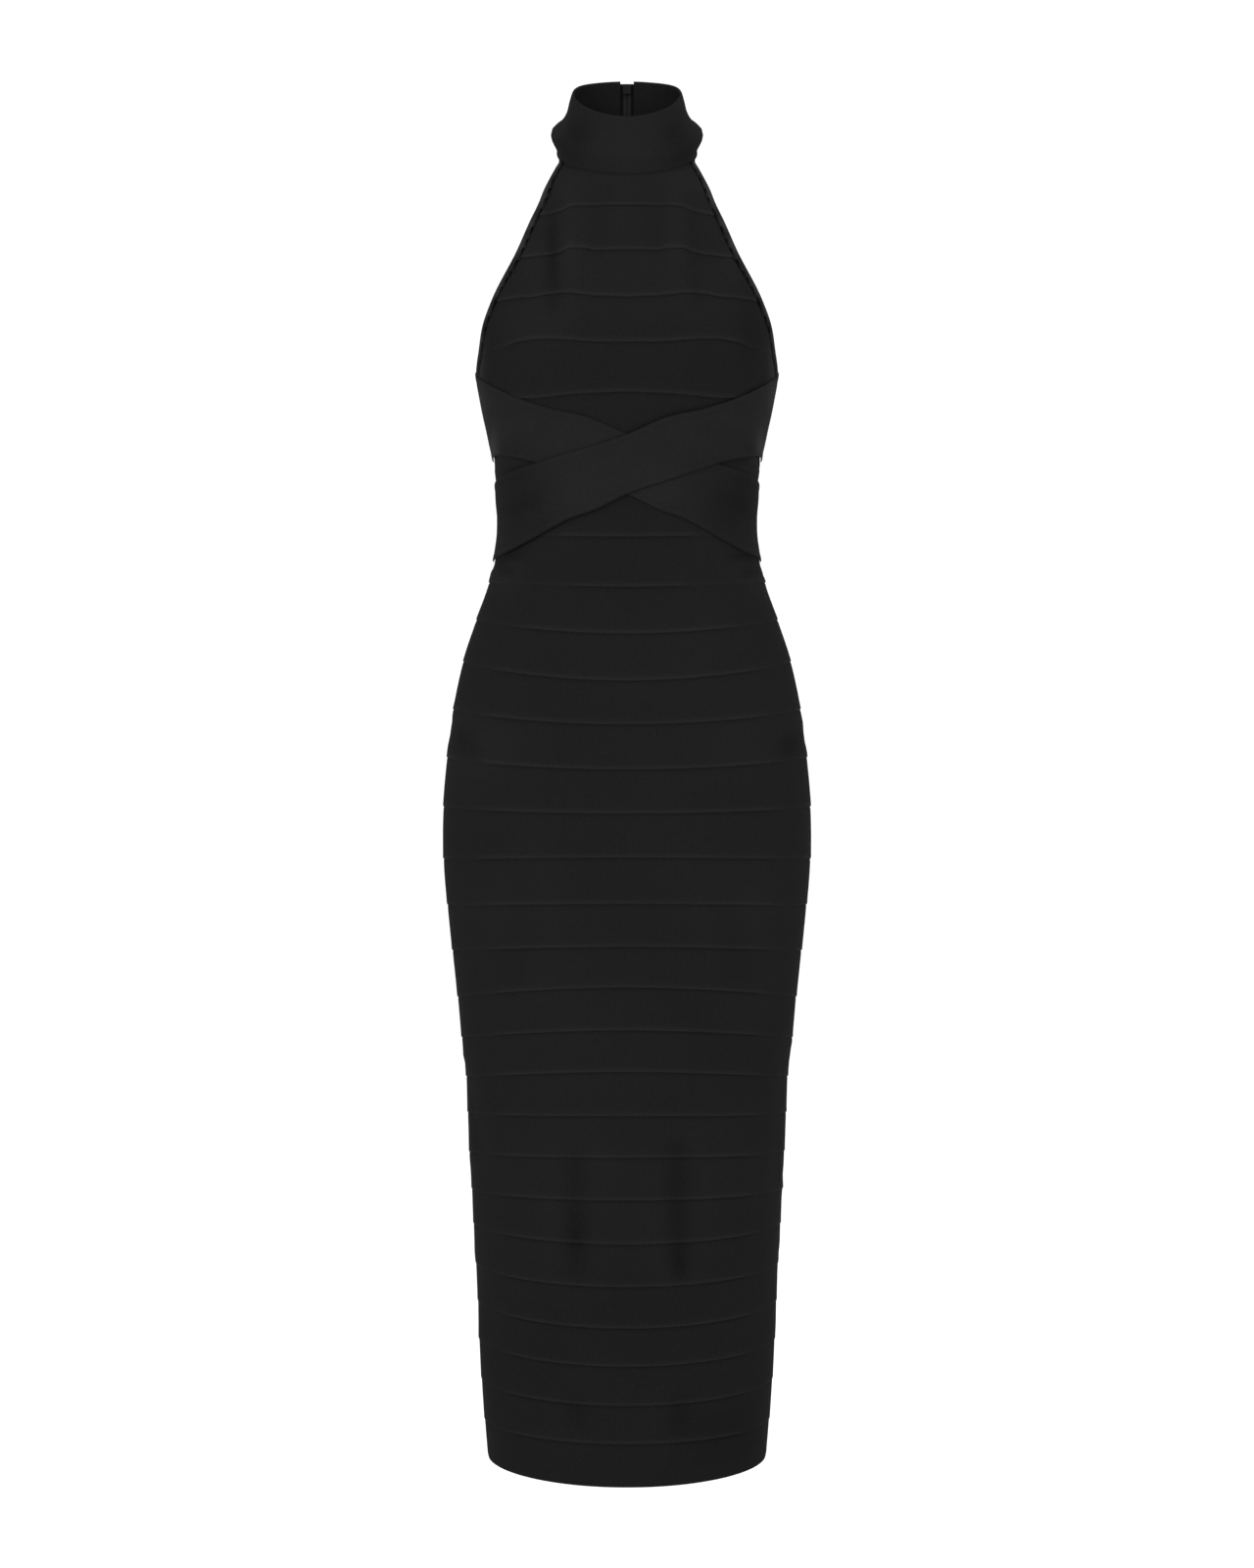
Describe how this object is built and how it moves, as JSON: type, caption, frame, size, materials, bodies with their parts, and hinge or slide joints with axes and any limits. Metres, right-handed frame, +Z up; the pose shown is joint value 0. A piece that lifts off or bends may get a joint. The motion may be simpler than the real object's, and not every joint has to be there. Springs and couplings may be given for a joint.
{
  "type": "bodycon dress",
  "caption": "Sleeveless bandage-knit bodycon midi dress with a high collar, crossed waist bands and a back zip, filled out as worn.",
  "frame": {"origin": "middle of the neck, level with the widest part of the collar, where the wearer's neck and shoulders hold the dress up", "axes": "+Z up, -Y towards the front of the dress, +X towards the wearer's left"},
  "size_m": [0.3382, 0.2403, 1.2833],
  "materials": {
    "bandage_knit": "matte black ribbed bandage knit of rayon, nylon and elastane",
    "cross_knit": "smooth black bandage knit, a little brighter than the panels",
    "zip_tape": "black woven polyester tape with a black nylon coil",
    "zip_metal": "black enamelled zinc"
  },
  "bodies": {
    "dress": {"collar": "bandage_knit", "front_bodice": "bandage_knit", "front_skirt": "bandage_knit", "back_bodice_left": "bandage_knit", "back_bodice_right": "bandage_knit", "back_skirt_left": "bandage_knit", "back_skirt_right": "bandage_knit", "cross_band_under": "cross_knit", "cross_band_over": "cross_knit", "armhole_binding_left": "bandage_knit", "armhole_binding_right": "bandage_knit", "zip_left": "zip_tape", "zip_right": "zip_tape", "zip_slider": "zip_metal"},
    "pull_tab": {"zip_pull_tab": "zip_metal"}
  },
  "joints": [
    {"name": "pull_tab_swing", "type": "hinge", "parent": "dress", "child": "pull_tab", "pos_m": [0, 0.0669, 0.052], "axis": [1, 0, 0], "range_deg": [0, 170]}
  ]
}
